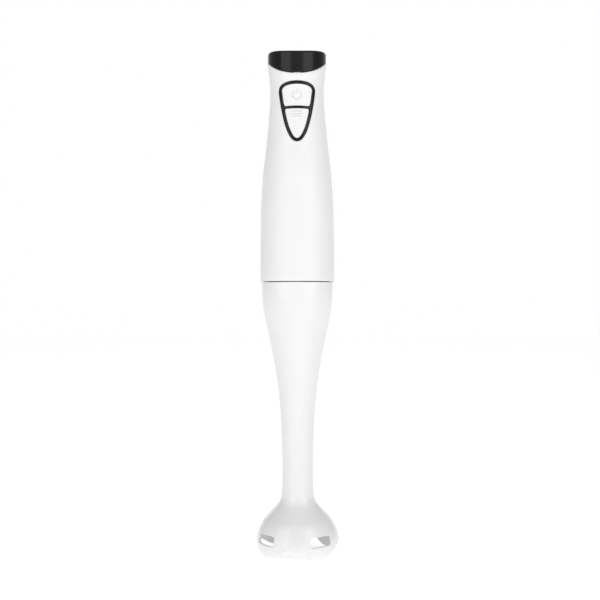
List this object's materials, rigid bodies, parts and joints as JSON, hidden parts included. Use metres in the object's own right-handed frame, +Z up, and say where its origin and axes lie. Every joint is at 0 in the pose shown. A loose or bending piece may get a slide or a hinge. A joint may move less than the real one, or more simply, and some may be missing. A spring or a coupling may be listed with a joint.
{
  "type": "immersion blender",
  "caption": "Slim hand-held stick blender with a detachable tapered leg, a scalloped bell guard over the blade and two push buttons.",
  "frame": {"origin": "centre of the plane that the four feet of the bell guard stand on", "axes": "+Z up along the blender's own axis, from the blade to the cap; -Y is the front, where the buttons are; +X is to the right seen from the front"},
  "size_m": [0.0628, 0.0628, 0.3826],
  "materials": {
    "white_satin": "fine satin moulded ABS",
    "white_gloss": "polished moulded polypropylene",
    "black_gloss": "polished moulded ABS",
    "black_plastic": "plain moulded nylon",
    "grey_rubber": "matt silicone rubber",
    "steel": "ground stainless steel",
    "lamination": "stacked electrical steel",
    "copper": "enamelled copper",
    "brass": "pressed sheet brass",
    "bronze": "sintered bronze",
    "carbon": "pressed graphite",
    "board": "paper phenolic board"
  },
  "bodies": {
    "leg": {"leg_tube": "white_gloss", "bell_guard": "white_gloss", "leg_coupling": "white_gloss", "shaft_tube": "black_plastic", "upper_leg_bush": "bronze", "lower_leg_bush": "bronze", "shaft_seal": "grey_rubber"},
    "leg_seal": {"seal_ring": "grey_rubber"},
    "motor_unit": {"front_shell": "white_satin", "rear_shell": "white_satin", "top_cap": "black_gloss", "cord_inlet_bush": "black_plastic", "button_frame": "black_gloss", "switch_carrier": "black_plastic", "circuit_board": "board", "on_microswitch": "black_plastic", "turbo_microswitch": "black_plastic", "rectifier": "black_plastic", "capacitor": "brass", "lower_bracket": "black_plastic", "upper_bracket": "black_plastic", "lower_motor_bush": "bronze", "upper_motor_bush": "bronze", "motor_mount_ring": "grey_rubber", "front_motor_screw": "steel", "rear_motor_screw": "steel", "stator_core": "lamination", "left_field_coil": "copper", "right_field_coil": "copper", "left_brush_holder": "brass", "left_carbon_brush": "carbon", "right_brush_holder": "brass", "right_carbon_brush": "carbon", "coupling_collar": "black_plastic", "collar_screw_1": "steel", "collar_screw_2": "steel", "collar_screw_3": "steel", "on_button_spring": "steel", "turbo_button_spring": "steel"},
    "on_button": {"on_button": "white_satin"},
    "turbo_button": {"turbo_button": "white_satin"},
    "rotor": {"motor_shaft": "steel", "rotor_core": "lamination", "rotor_winding": "copper", "commutator": "copper", "cooling_fan": "white_satin", "drive_socket": "black_plastic"},
    "drive_shaft": {"drive_shaft": "steel", "drive_dog": "black_plastic", "retaining_ring": "steel", "blade": "steel", "blade_hub": "black_plastic", "blade_nut": "steel"}
  },
  "joints": [
    {"name": "on_button_press", "type": "slide", "parent": "motor_unit", "child": "on_button", "axis": [0, 1, 0], "range_m": [0, 0.002], "stiffness_N_per_m": 600, "springref_m": -0.002, "deforming": ["on_button_spring"]},
    {"name": "turbo_button_press", "type": "slide", "parent": "motor_unit", "child": "turbo_button", "axis": [0, 1, 0], "range_m": [0, 0.002], "stiffness_N_per_m": 600, "springref_m": -0.002, "deforming": ["turbo_button_spring"]},
    {"name": "rotor_spin", "type": "hinge", "parent": "motor_unit", "child": "rotor", "pos_m": [0, 0, 0.255], "axis": [0, 0, 1], "continuous": true},
    {"name": "leg_twist", "type": "hinge", "parent": "leg", "child": "leg_seal", "pos_m": [0, 0, 0.2], "axis": [0, 0, -1], "range_deg": [0, 30]},
    {"name": "leg_pull", "type": "slide", "parent": "leg_seal", "child": "motor_unit", "axis": [0, 0, 1], "range_m": [0, 0.05]},
    {"name": "drive_spin", "type": "hinge", "parent": "leg", "child": "drive_shaft", "pos_m": [0, 0, 0.1], "axis": [0, 0, 1], "continuous": true}
  ],
  "couplings": [
    {"joint": "drive_spin", "follows": "rotor_spin", "ratio": 1}
  ]
}
